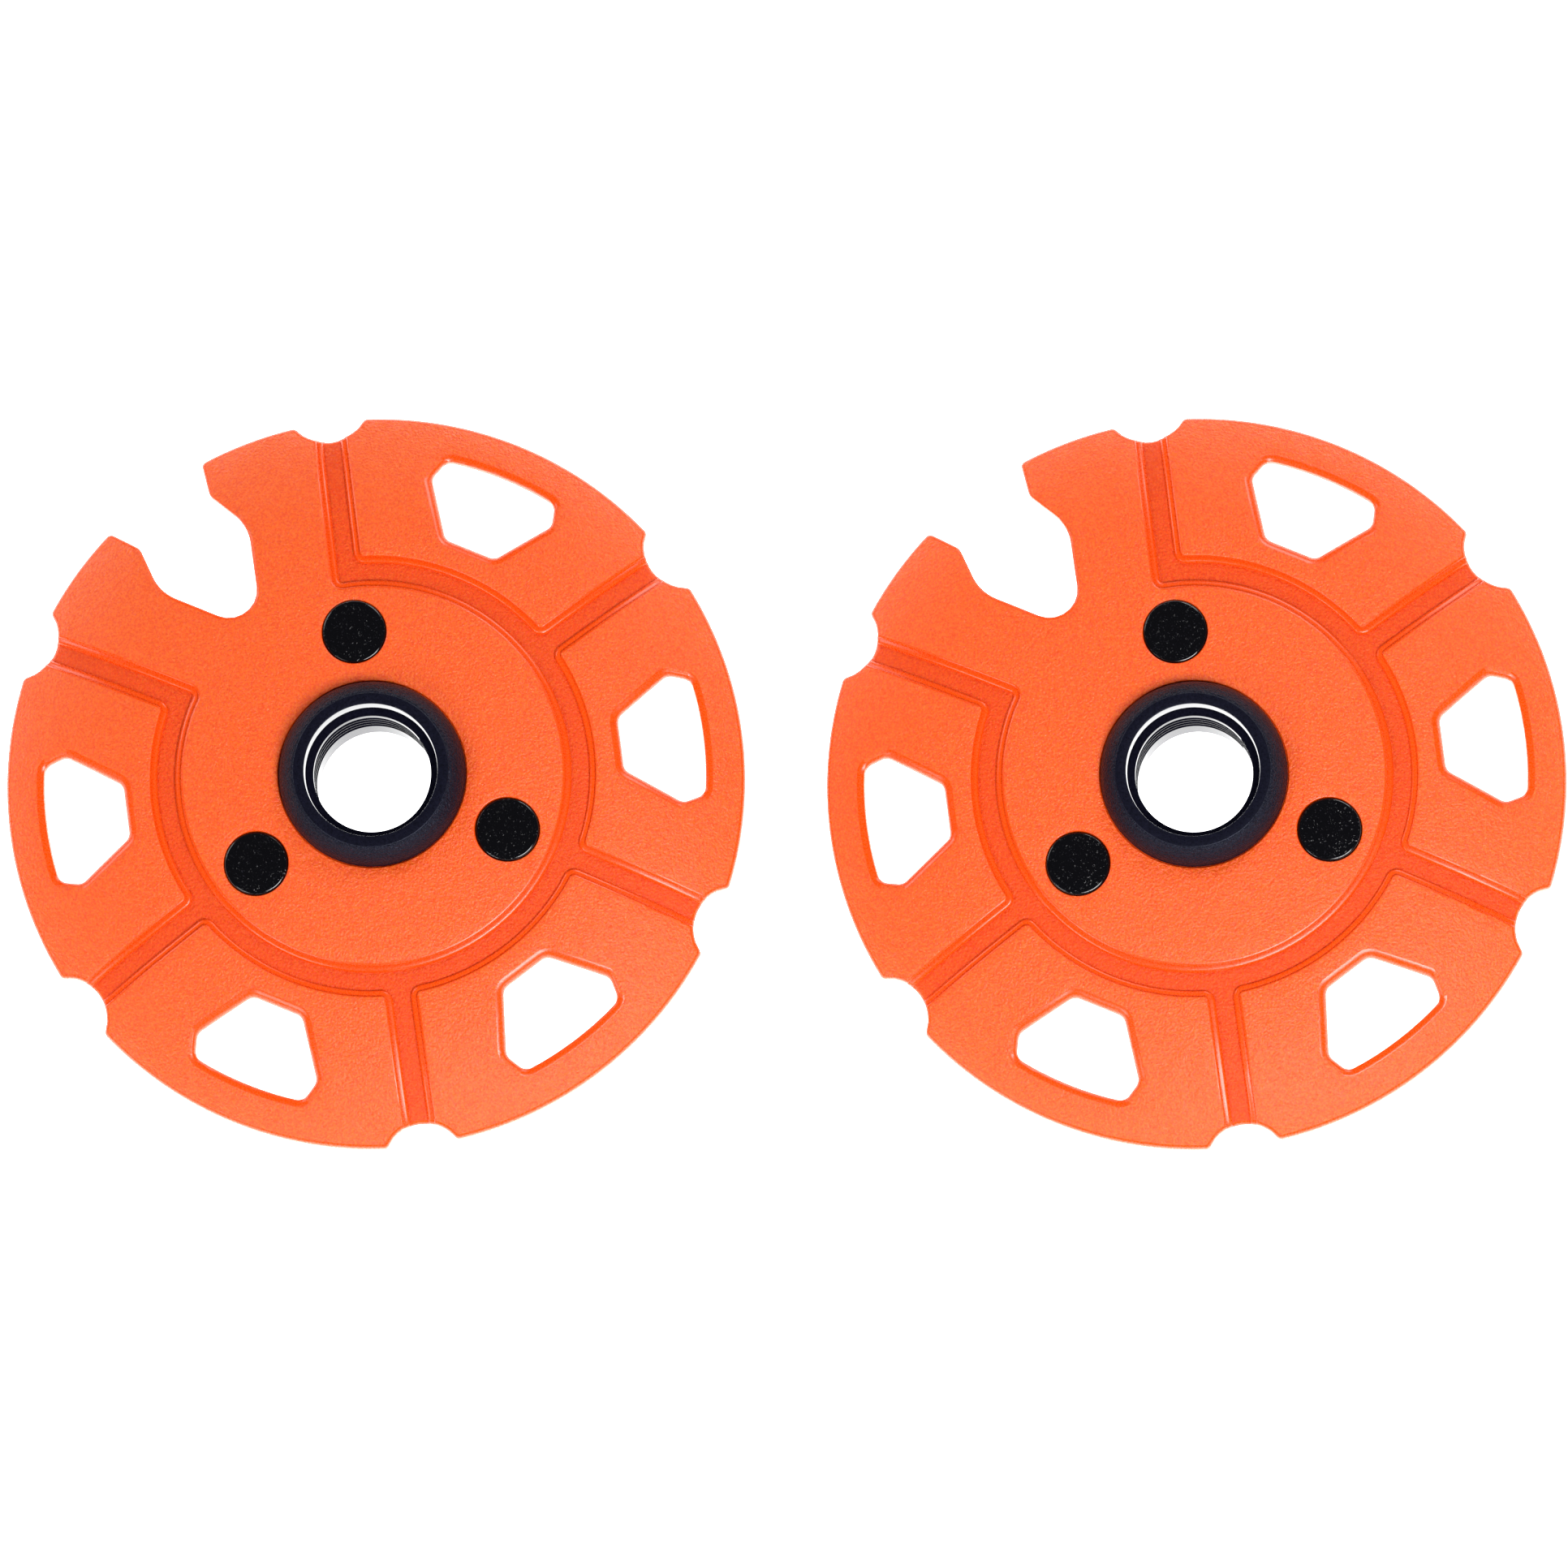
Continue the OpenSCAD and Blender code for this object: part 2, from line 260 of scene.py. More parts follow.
def edit(piece):
    """Opens the piece in edit mode with all of it selected."""
    pick(piece)
    bpy.ops.object.mode_set(mode="EDIT")
    bpy.ops.mesh.select_mode(type="VERT")
    bpy.ops.mesh.select_all(action="SELECT")


def done():
    bpy.ops.object.mode_set(mode="OBJECT")


def modify(piece, kind, **settings):
    """Adds a modifier and applies it."""
    pick(piece)
    modifier = piece.modifiers.new(kind.lower(), kind)
    for name, value in settings.items():
        setattr(modifier, name, value)
    bpy.ops.object.modifier_apply(modifier=modifier.name)


def combine(piece, tool, operation):
    """Cuts piece with tool, or joins tool to it, and uses tool up."""
    modify(piece, "BOOLEAN", operation=operation, solver="EXACT", object=tool)
    bpy.data.objects.remove(tool)


def smooth(piece, degrees):
    """Shades the piece smooth across edges flatter than this."""
    pick(piece)
    bpy.ops.object.shade_smooth_by_angle(angle=math.radians(degrees))


# ---------------------------------------------------------------- outlines, in millimetres

def polar(radius, degrees):
    """The point at this distance and angle from the axis."""
    angle = math.radians(degrees)
    return Vector((radius * math.cos(angle), radius * math.sin(angle)))


def arc(radius, start, stop, step):
    """Plain points of an arc about the axis, about step degrees apart, with both its ends."""
    count = max(1, round(abs(stop - start) / step))
    return [(polar(radius, start + (stop - start) * i / count), 0) for i in range(count + 1)]


def turned(outline, degrees):
    """The (point, radius) outline, turned about the axis."""
    cos, sin = math.cos(math.radians(degrees)), math.sin(math.radians(degrees))
    return [(Vector((p.x * cos - p.y * sin, p.x * sin + p.y * cos)), r) for p, r in outline]


def rounded(corners, steps=7):
    """The outline through (point, radius) corners, each rounded with its own radius."""
    points = []
    for i, (corner, radius) in enumerate(corners):
        if not radius:
            points.append(corner)
            continue
        back = (corners[i - 1][0] - corner).normalized()
        on = (corners[(i + 1) % len(corners)][0] - corner).normalized()
        half = back.angle(on) / 2
        centre = corner + (back + on).normalized() * radius / math.sin(half)
        first = corner + back * radius / math.tan(half) - centre
        last = corner + on * radius / math.tan(half) - centre
        sweep = math.atan2(first.x * last.y - first.y * last.x, first.dot(last))
        for k in range(steps + 1):
            cos, sin = math.cos(sweep * k / steps), math.sin(sweep * k / steps)
            points.append(centre + Vector((first.x * cos - first.y * sin, first.x * sin + first.y * cos)))
    return points


def beside(spoke, along, across):
    """The point this far along a spoke and this far to its left."""
    return turned([(Vector((along, across)), 0)], spoke)[0][0]


def notch_corners():
    """The notch's corners from its right mouth round to its left mouth, for a notch along +X, and the
    angle at which the rim meets its mouth."""
    wall_angle = math.radians(NOTCH_WALL_ANGLE)
    apex_x = NOTCH_TIP_X + NOTCH_TIP_CORNER - NOTCH_TIP_CORNER / math.sin(wall_angle)
    pocket_half = (NOTCH_POCKET_X - apex_x) * math.tan(wall_angle)
    flare = (NOTCH_MOUTH_HALF - NOTCH_NECK_HALF) / (DISC_R - NOTCH_NECK_X)
    rim_half = NOTCH_MOUTH_HALF
    for _ in range(5):
        rim_half = NOTCH_NECK_HALF + flare * (math.sqrt(DISC_R ** 2 - rim_half ** 2) - NOTCH_NECK_X)
    mouth_angle = math.degrees(math.asin(rim_half / DISC_R))
    right = [
        (polar(DISC_R, -mouth_angle), RIM_CORNER),
        (Vector((NOTCH_NECK_X, -NOTCH_NECK_HALF)), NOTCH_NECK_CORNER),
        (Vector((NOTCH_POCKET_X, -pocket_half)), NOTCH_POCKET_CORNER),
    ]
    left = [(Vector((p.x, -p.y)), r) for p, r in reversed(right)]
    return right + [(Vector((apex_x, 0)), NOTCH_TIP_CORNER)] + left, mouth_angle


def scallop_corners(spoke):
    """One scallop and its corners on the rim, from right to left, and half the angle that it spans."""
    centre_r = DISC_R - SCALLOP_DEPTH + SCALLOP_R
    half = math.degrees(math.acos((centre_r ** 2 + DISC_R ** 2 - SCALLOP_R ** 2) / (2 * centre_r * DISC_R)))
    corner = polar(DISC_R, half)
    swing = math.degrees(math.atan2(corner.y, centre_r - corner.x)) - SCALLOP_CLEAR
    angles = [swing * (k / 5 - 1) for k in range(11)]
    bottom = [(Vector((centre_r, 0)) - polar(SCALLOP_R, -angle), 0) for angle in angles]
    ends = [(polar(DISC_R, side * half), RIM_CORNER) for side in (-1, 1)]
    return turned([ends[0], *bottom, ends[1]], spoke), half


def disc_outline():
    """The rim with its scallops and the notch, counter-clockwise from the notch's left mouth."""
    notch, mouth_angle = notch_corners()
    corners = []
    start = NOTCH_AT + mouth_angle + RIM_CLEAR
    for i in range(SECTORS):
        spoke = NOTCH_AT + SECTOR / 2 + i * SECTOR
        scallop, half = scallop_corners(spoke)
        corners += arc(DISC_R, start, spoke - half - RIM_CLEAR, RIM_STEP) + scallop
        start = spoke + half + RIM_CLEAR
    corners += arc(DISC_R, start, NOTCH_AT + 360 - mouth_angle - RIM_CLEAR, RIM_STEP)
    return rounded(corners + turned(notch, NOTCH_AT))


def channel_outline(grow, reach):
    """The ring channel with its six spokes; grow narrows it to the part below its ledges."""
    half_w = CHANNEL_W / 2 - grow
    inner, outer = PLATEAU_R + grow, PANEL_R - grow
    web, corner = WEB_CORNER - grow, PANEL_CORNER + grow
    first, last = NOTCH_AT - SECTOR / 2, NOTCH_AT + SECTOR / 2 - 360
    inner_x = math.sqrt(inner ** 2 - half_w ** 2)
    outer_x = math.sqrt(outer ** 2 - half_w ** 2)
    inner_clear = math.degrees((half_w + WEB_CLEAR * web) / inner)
    outer_clear = math.degrees((half_w + PANEL_CLEAR * corner) / outer)
    spoke_w = 2 * math.degrees(half_w / inner)
    corners = [(beside(first, reach, half_w), 0), (beside(first, inner_x, half_w), web)]
    corners += arc(inner, first - inner_clear + spoke_w, last + inner_clear - spoke_w, CHANNEL_STEP)
    corners += [(beside(last, inner_x, -half_w), web), (beside(last, reach, -half_w), 0)]
    for i in range(SECTORS - 1):
        spoke = last + i * SECTOR
        corners += [(beside(spoke, reach, half_w), 0), (beside(spoke, outer_x, half_w), corner)]
        corners += arc(outer, spoke + outer_clear, spoke + SECTOR - outer_clear, CHANNEL_STEP)
        corners += [(beside(spoke + SECTOR, outer_x, -half_w), corner)]
        corners += [(beside(spoke + SECTOR, reach, -half_w), 0)]
    return rounded(corners)


def window_outline():
    """A window along +X, counter-clockwise."""
    inner_half, wide_half, outer_half = WINDOW_HALVES
    end_angle = math.degrees(math.asin(outer_half / WINDOW_OUT_R))
    clear = math.degrees(WINDOW_CLEAR * WINDOW_CORNER / WINDOW_OUT_R)
    right = [
        (Vector((WINDOW_IN_R, -inner_half)), WINDOW_CORNER),
        (Vector((WINDOW_OUT_R - WINDOW_SHOULDER, -wide_half)), WINDOW_CORNER),
        (polar(WINDOW_OUT_R, -end_angle), WINDOW_CORNER),
    ]
    left = [(Vector((p.x, -p.y)), r) for p, r in reversed(right)]
    return rounded(right + arc(WINDOW_OUT_R, clear - end_angle, end_angle - clear, RIM_STEP) + left)


def circle_outline(radius, count=96, at=(0, 0)):
    """Points of a circle about a place."""
    return [Vector(at) + polar(radius, 360 * i / count) for i in range(count)]


# ---------------------------------------------------------------- solids

def plate(name, outline, low, high):
    """A flat plate with this outline, between two heights."""
    deselect()
    bpy.ops.mesh.primitive_circle_add(vertices=len(outline), radius=DISC_R * MM, fill_type="NGON")
    piece = bpy.context.object
    piece.name = name
    for vertex, point in zip(piece.data.vertices, outline):
        vertex.co = Vector((point.x, point.y, low)) * MM
    edit(piece)
    bpy.ops.mesh.extrude_region_move(TRANSFORM_OT_translate={"value": (0, 0, (high - low) * MM)})
    bpy.ops.mesh.select_all(action="SELECT")
    bpy.ops.mesh.normals_make_consistent(inside=False)
    done()
    return piece


def dome_height(radius):
    """How high the disc's top surface lies at this distance from the axis, in millimetres."""
    knee_sin = KNEE_R / DOME_R
    knee_cos = math.sqrt(1 - knee_sin ** 2)
    arc_x = KNEE_R - RIM_ARC_R * knee_sin

    def arc_drop(r):
        return RIM_ARC_R * knee_cos - math.sqrt(RIM_ARC_R ** 2 - (r - arc_x) ** 2)

    knee_z = HUB_BELOW + WALL + arc_drop(DISC_R)
    if radius > KNEE_R:
        return knee_z - arc_drop(min(radius, DISC_R))
    return knee_z + math.sqrt(DOME_R ** 2 - radius ** 2) - DOME_R * knee_cos


def rounding(wall, height):
    """How wide the rounding along this wall's edges is, in millimetres."""
    centre = wall.center.xy / MM
    if centre.length < PLATEAU_R - 1:
        return POCKET_ROUNDING
    if height < WALL / 2:
        return STEP_ROUNDING * height
    from_notch = math.degrees(centre.angle(polar(1, NOTCH_AT)))
    in_window = centre.length < WINDOW_OUT_R + 0.5 and from_notch > SECTOR / 2
    return WINDOW_ROUNDING if in_window else RIM_ROUNDING


def soften_walls(piece, segments):
    """Rounds the outward edges above and below each wall."""
    mesh = piece.data
    weights = mesh.attributes.new("bevel_weight_edge", "FLOAT", "EDGE")
    beside_edge = {}
    for face in mesh.polygons:
        for key in face.edge_keys:
            beside_edge.setdefault(key, []).append(face)
    for edge in mesh.edges:
        faces = sorted(beside_edge[edge.key], key=lambda face: abs(face.normal.z))
        if len(faces) != 2 or abs(faces[0].normal.z) > 0.5 or abs(faces[1].normal.z) < 0.5:
            continue
        wall, flat = faces
        heights = [mesh.vertices[i].co.z for i in wall.vertices]
        edge_z = mesh.vertices[edge.vertices[0]].co.z
        wall_is_above = max(heights) - edge_z > edge_z - min(heights)
        if wall_is_above == (flat.normal.z > 0):
            continue
        width = rounding(wall, (max(heights) - min(heights)) / MM)
        if flat.normal.z < 0:
            width = min(width, UNDERSIDE_ROUNDING)
        weights.data[edge.index].value = width / WINDOW_ROUNDING
    modify(piece, "BEVEL", width=WINDOW_ROUNDING * MM, segments=segments, limit_method="WEIGHT",
           use_clamp_overlap=False, miter_outer="MITER_ARC")


def cut_into_squares(piece):
    """Cuts the flat piece along a square grid, so that it can bend."""
    edit(piece)
    count = int(DISC_R / GRID) + 1
    for axis in ((1, 0, 0), (0, 1, 0)):
        for i in range(-count, count + 1):
            place = (i + GRID_SHIFT) * GRID * MM
            bpy.ops.mesh.select_all(action="SELECT")
            bpy.ops.mesh.bisect(plane_co=[place * a for a in axis], plane_no=axis)
    done()


def press_into_dome(piece):
    """Raises the flat piece onto the dome, through a vertex group that holds how high each point goes."""
    rise = dome_height(0) - dome_height(DISC_R)
    group = piece.vertex_groups.new(name="dome")
    for vertex in piece.data.vertices:
        height = dome_height(vertex.co.xy.length / MM) - dome_height(DISC_R)
        group.add([vertex.index], height / rise, "REPLACE")
    modify(piece, "DISPLACE", direction="Z", mid_level=0, strength=rise * MM, vertex_group="dome")
    piece.vertex_groups.clear()
    edit(piece)
    bpy.ops.transform.translate(value=(0, 0, dome_height(DISC_R) * MM))
    done()


def make_disc():
    """The moulded disc: built flat, its edges rounded, then pressed into its dome."""
    disc = plate("disc", disc_outline(), -WALL, 0)

    def cut(name, outline, low):
        combine(disc, plate(name, outline, low, CUT_MARGIN), "DIFFERENCE")

    combine(disc, plate("ribs", channel_outline(0, RIB_END_R), -WALL - RIB_H, -WALL / 2), "UNION")
    boss_z = CLIP_Z + CLIP_T - dome_height(BOSS_R)
    combine(disc, plate("boss", circle_outline(BOSS_R), boss_z, -WALL / 2), "UNION")
    pocket_floor = MAGNET_Z - dome_height(MAGNET_ORBIT)
    for i in range(3):
        at = polar(MAGNET_ORBIT, (2 * i + 1) * SECTOR)
        cup = circle_outline(MAGNET_R + CUP_WALL, 64, at)
        combine(disc, plate("cup", cup, pocket_floor - CUP_WALL, -WALL / 2), "UNION")
        cut("pocket", circle_outline(MAGNET_R + POCKET_GAP, at=at), pocket_floor - POCKET_SPARE)
    cut("ledges", channel_outline(0, BEYOND), -LEDGE_DEPTH)
    cut("floors", channel_outline(LEDGE_W, BEYOND), -FLOOR_DEPTH)
    for i in range(1, SECTORS):
        window = [p for p, _ in turned([(p, 0) for p in window_outline()], NOTCH_AT + i * SECTOR)]
        cut("window", window, -WALL - CUT_MARGIN)
    cut("seat", circle_outline(FLANGE_R + SEAT_GAP, 128), -SEAT_DEPTH)
    cut("bore", circle_outline(TUBE_R + BORE_GAP), -BORE_CUT)
    soften_walls(disc, 3)
    cut_into_squares(disc)
    press_into_dome(disc)
    return disc


def spun(name, profile, steps):
    """A solid of revolution about Z from a closed (radius, height) profile."""
    deselect()
    bpy.ops.mesh.primitive_circle_add(vertices=len(profile), radius=MM, fill_type="NOTHING")
    piece = bpy.context.object
    piece.name = name
    for vertex, (radius, height) in zip(piece.data.vertices, profile):
        vertex.co = Vector((radius, 0, height)) * MM
    edit(piece)
    bpy.ops.mesh.spin(steps=steps, angle=2 * math.pi, center=(0, 0, 0), axis=(0, 0, 1))
    bpy.ops.mesh.select_all(action="SELECT")
    bpy.ops.mesh.remove_doubles(threshold=0.001 * MM)
    bpy.ops.mesh.normals_make_consistent(inside=False)
    done()
    return piece


def profile_arc(centre, radius, start, stop, count):
    """Points of an arc in a profile, between two angles."""
    return [
        (centre[0] + radius * math.cos(math.radians(a)), centre[1] + radius * math.sin(math.radians(a)))
        for a in [start + (stop - start) * i / count for i in range(count + 1)]
    ]


def make_hub():
    """The hub: a tube with a rounded flange, a flat top ring, a smooth entry and an inside thread."""
    step = FLANGE_R - TOP_RING_R
    round_r = (FLANGE_H ** 2 + step ** 2) / (2 * step)
    top_angle = math.degrees(math.asin((FLANGE_H - RING_ROUNDING) / round_r))
    clip_low, clip_high = CLIP_Z - CLIP_PLAY, CLIP_Z + CLIP_T + CLIP_PLAY
    shoulder_r = ENTRY_R - ENTRY_DEPTH * math.tan(math.radians(ENTRY_DRAFT))
    shoulder_z = HUB_TOP - ENTRY_DEPTH
    thread_top = shoulder_z - shoulder_r + THREAD_MINOR_R
    ring_z = HUB_TOP - RING_ROUNDING
    profile = [(THREAD_MINOR_R, FOOT_ROUNDING), (THREAD_MINOR_R, thread_top), (shoulder_r, shoulder_z)]
    profile += profile_arc((ENTRY_R + RING_ROUNDING, ring_z), RING_ROUNDING, 180, 90, 3)
    profile += profile_arc((TOP_RING_R - RING_ROUNDING, ring_z), RING_ROUNDING, 90, 20, 3)
    profile += profile_arc((FLANGE_R - round_r, SEAT_Z), round_r, top_angle, 6, 16)
    profile += profile_arc((FLANGE_R - LIP_ROUNDING, SEAT_Z + LIP_ROUNDING), LIP_ROUNDING, 0, -90, 4)
    profile += [(TUBE_R, SEAT_Z), (TUBE_R, clip_high), (TUBE_R - CLIP_GROOVE, clip_high)]
    profile += [(TUBE_R - CLIP_GROOVE, clip_low), (TUBE_R, clip_low)]
    profile += profile_arc((TUBE_R - FOOT_ROUNDING, FOOT_ROUNDING), FOOT_ROUNDING, 0, -90, 4)
    profile += [(THREAD_MINOR_R + FOOT_ROUNDING, 0)]
    hub = spun("hub", profile, HUB_STEPS)
    combine(hub, thread_cutter(SMOOTH_BORE, thread_top), "DIFFERENCE")
    smooth(hub, 32)
    return hub


def thread_cutter(low, high):
    """The helical groove of the thread, as a closed coil that ends at the upper height."""
    half = (THREAD_PITCH - THREAD_CREST) / 2
    inside = 0.02
    half_inside = half * (1 + inside / THREAD_DEPTH)
    inner, root = THREAD_MINOR_R - inside, THREAD_MINOR_R + THREAD_DEPTH
    section = [(inner, -half_inside), (root, -THREAD_ROOT / 2), (root, THREAD_ROOT / 2), (inner, half_inside)]
    turns = int((high - low - 2 * half) / THREAD_PITCH)
    start = high - half - turns * THREAD_PITCH
    deselect()
    bpy.ops.mesh.primitive_circle_add(vertices=len(section), radius=MM, fill_type="NOTHING")
    coil = bpy.context.object
    for vertex, (radius, height) in zip(coil.data.vertices, section):
        vertex.co = Vector((radius, 0, start + height)) * MM
    modify(coil, "SCREW", axis="Z", angle=2 * math.pi, screw_offset=THREAD_PITCH * MM, iterations=turns,
           steps=THREAD_STEPS, render_steps=THREAD_STEPS, use_smooth_shade=False)
    edit(coil)
    bpy.ops.mesh.select_all(action="DESELECT")
    bpy.ops.mesh.select_non_manifold()
    bpy.ops.mesh.fill_holes(sides=0)
    bpy.ops.mesh.select_all(action="SELECT")
    bpy.ops.mesh.normals_make_consistent(inside=False)
    done()
    return coil


def make_magnet():
    """A flat disc magnet with rounded edges, in its place in the first pocket."""
    deselect()
    bpy.ops.mesh.primitive_cylinder_add(vertices=96, radius=MAGNET_R * MM, depth=MAGNET_T * MM)
    magnet = bpy.context.object
    magnet.name = "magnet"
    edit(magnet)
    bpy.ops.transform.translate(value=(MAGNET_ORBIT * MM, 0, (MAGNET_Z + MAGNET_T / 2) * MM))
    done()
    modify(magnet, "BEVEL", width=MAGNET_ROUNDING * MM, segments=4, limit_method="ANGLE",
           angle_limit=math.radians(50))
    smooth(magnet, 40)
    return magnet


def make_clip():
    """The split retaining ring with its two lugs, open towards the notch."""
    inner = TUBE_R - CLIP_GROOVE + CLIP_PLAY
    clip = plate("clip", circle_outline(CLIP_OUT_R, 144), CLIP_Z, CLIP_Z + CLIP_T)

    def cut(name, outline):
        tool = plate(name, outline, CLIP_Z - CUT_MARGIN, CLIP_Z + CLIP_T + CUT_MARGIN)
        combine(clip, tool, "DIFFERENCE")

    lug_orbit = inner + CLIP_W / 2 + CLIP_LUG_R / 2
    lug_angle = CLIP_GAP / 2 + math.degrees(math.asin(CLIP_LUG_R / lug_orbit)) * CLIP_LUG_OVERLAP
    lugs = [polar(lug_orbit, NOTCH_AT + side * lug_angle) for side in (-1, 1)]
    for at in lugs:
        lug = plate("lug", circle_outline(CLIP_LUG_R, 48, at), CLIP_Z, CLIP_Z + CLIP_T)
        combine(clip, lug, "UNION")
    cut("gap", [Vector((0, 0))] + [polar(CLIP_BEYOND, NOTCH_AT + side * CLIP_GAP / 2) for side in (-1, 1)])
    cut("eye", circle_outline(inner, 144))
    for at in lugs:
        cut("hole", circle_outline(CLIP_HOLE_R, 32, at))
    modify(clip, "BEVEL", width=CLIP_ROUNDING * MM, segments=2, limit_method="ANGLE",
           angle_limit=math.radians(50))
    smooth(clip, 40)
    return clip


# ---------------------------------------------------------------- materials

def new_material(name):
    """A material with its nodes, its links and its shader."""
    material = bpy.data.materials.new(name)
    material.use_nodes = True
    nodes = material.node_tree.nodes
    return material, nodes, material.node_tree.links, nodes["Principled BSDF"]


def noise(nodes, links, scale, detail=2.0, roughness=0.5):
    """Noise over the piece's own coordinates; scale is in grains to the metre."""
    place = nodes.new("ShaderNodeTexCoord")
    texture = nodes.new("ShaderNodeTexNoise")
    texture.inputs["Scale"].default_value = scale
    texture.inputs["Detail"].default_value = detail
    texture.inputs["Roughness"].default_value = roughness
    links.new(place.outputs["Object"], texture.inputs["Vector"])
    return texture.outputs["Fac"]


def ramp(nodes, links, factor, low, high):
    """Spreads factor between two (position, colour) stops."""
    node = nodes.new("ShaderNodeValToRGB")
    for element, (position, colour) in zip(node.color_ramp.elements, (low, high)):
        element.position = position
        element.color = (*colour, 1)
    links.new(factor, node.inputs["Fac"])
    return node.outputs["Color"]


def grey(value):
    return (value, value, value)


def bump(nodes, links, height, depth, before=None):
    """A bump of this depth in metres, on top of an earlier one."""
    node = nodes.new("ShaderNodeBump")
    node.inputs["Distance"].default_value = depth
    links.new(height, node.inputs["Height"])
    if before:
        links.new(before, node.inputs["Normal"])
    return node.outputs["Normal"]


def orange_plastic(name, red, green, blue, grain, roughness, gloss=0.5):
    """Moulded orange plastic; grain is the depth of its spark-eroded texture in metres, and gloss is its
    specular level."""
    material, nodes, links, shader = new_material(name)
    speckle = noise(nodes, links, SPECKLE, 2, 0.6)
    share = GRAINED_SHARE if grain > GRAIN_LIMIT else SMOOTH_SHARE
    low = (red * (1 - share / 6), green * (1 - share), blue * (1 - share))
    high = (min(red * (1 + share / 6), 1), green * (1 + share), blue * (1 + 2 * share))
    links.new(ramp(nodes, links, speckle, (0.36, low), (0.64, high)), shader.inputs["Base Color"])
    patches = noise(nodes, links, SHEEN_PATCHES, 2)
    links.new(ramp(nodes, links, patches, (0.3, grey(roughness - 0.06)), (0.7, grey(roughness + 0.06))),
              shader.inputs["Roughness"])
    surface = bump(nodes, links, noise(nodes, links, SPARK_GRAIN, 2, 0.6), grain)
    surface = bump(nodes, links, noise(nodes, links, WAVES, 2), grain * 0.4, surface)
    links.new(surface, shader.inputs["Normal"])
    shader.inputs["Specular IOR Level"].default_value = gloss
    shader.inputs["Subsurface Weight"].default_value = 0.15
    shader.inputs["Subsurface Radius"].default_value = (1.0, 0.25, 0.08)
    shader.inputs["Subsurface Scale"].default_value = 0.0005
    return material


def black_plastic(name, grain, roughness, gloss, index=PLAIN_INDEX):
    """Black plastic with a faint blue cast, in its gloss too unless it is polished; gloss is its specular
    level, and index how strongly it mirrors."""
    material, nodes, links, shader = new_material(name)
    cloud = noise(nodes, links, BLACK_CLOUD, 3, 0.7)
    links.new(ramp(nodes, links, cloud, (0.35, (0.003, 0.003, 0.007)), (0.7, (0.007, 0.007, 0.016))),
              shader.inputs["Base Color"])
    patches = noise(nodes, links, BLACK_SHEEN_PATCHES, 2)
    links.new(ramp(nodes, links, patches, (0.3, grey(roughness * 0.85)), (0.7, grey(roughness * 1.15))),
              shader.inputs["Roughness"])
    shader.inputs["Specular IOR Level"].default_value = gloss
    shader.inputs["Specular Tint"].default_value = (1, 1, 1, 1) if index > PLAIN_INDEX else (0.7, 0.76, 1, 1)
    shader.inputs["IOR"].default_value = index
    links.new(bump(nodes, links, noise(nodes, links, BLACK_GRAIN, 2), grain), shader.inputs["Normal"])
    return material


def magnet_coating():
    """Glossy black coating with small pits and a little dust."""
    material, nodes, links, shader = new_material("magnet_coating")
    dust = noise(nodes, links, DUST, 3)
    links.new(ramp(nodes, links, dust, (0.64, (0.002, 0.002, 0.003)), (0.8, (0.035, 0.035, 0.045))),
              shader.inputs["Base Color"])
    shader.inputs["Roughness"].default_value = 0.1
    shader.inputs["Specular IOR Level"].default_value = 0.5
    pits = ramp(nodes, links, noise(nodes, links, PITS, 2), (0.28, grey(0)), (0.38, grey(1)))
    links.new(bump(nodes, links, pits, 0.00002), shader.inputs["Normal"])
    return material


def dark_steel():
    """The retaining rings' dark spring steel."""
    material, nodes, links, shader = new_material("dark_steel")
    shader.inputs["Metallic"].default_value = 1.0
    cloud = noise(nodes, links, STEEL_CLOUD, 3)
    links.new(ramp(nodes, links, cloud, (0.3, grey(0.07)), (0.7, grey(0.12))), shader.inputs["Base Color"])
    shader.inputs["Roughness"].default_value = 0.42
    links.new(bump(nodes, links, noise(nodes, links, STEEL_GRAIN, 2), 0.00001), shader.inputs["Normal"])
    return material


def dress(piece, materials, chooser=None):
    """Gives the piece its materials; chooser returns each face's index among them."""
    piece.data.materials.clear()
    for material in materials:
        piece.data.materials.append(material)
    for face in piece.data.polygons:
        face.material_index = chooser(face) if chooser else 0


# ---------------------------------------------------------------- the two baskets

def dome_slope(radius):
    """The upward component of the top surface's normal at this radius in millimetres."""
    rise = dome_height(max(radius - SLOPE_RUN, 0)) - dome_height(min(radius + SLOPE_RUN, DISC_R))
    return math.cos(math.atan(rise / (2 * SLOPE_RUN)))


def disc_face(face):
    """0 for the grained faces that follow the dome, 1 for smooth walls, roundings and ledges, and 2 for the
    channels' floors, whose darker orange is painted shade in the recess."""
    radius = face.center.xy.length / MM
    if abs(abs(face.normal.z) - dome_slope(radius)) > SLOPE_NEAR:
        return 1
    depth = dome_height(radius) - face.center.z / MM
    if face.normal.z < 0 or depth < LEDGE_DEPTH / 2:
        return 0
    return 1 if depth < (LEDGE_DEPTH + FLOOR_DEPTH) / 2 else 2


def hub_face(face):
    """0 for the grained slope and 1 for the smooth ring and outside; in the bore, 2 for the polished entry,
    3 for the thread's flanks, and 4 for its crests and the plain lower end."""
    radius, height = face.center.xy.length / MM, face.center.z / MM
    if radius > ENTRY_R + NEAR:
        return 0 if radius > TOP_RING_R + NEAR and height > SEAT_Z + LIP_NEAR else 1
    if height > HUB_TOP - ENTRY_DEPTH:
        return 2
    return 4 if height < SMOOTH_BORE or radius < THREAD_MINOR_R + CREST_NEAR else 3


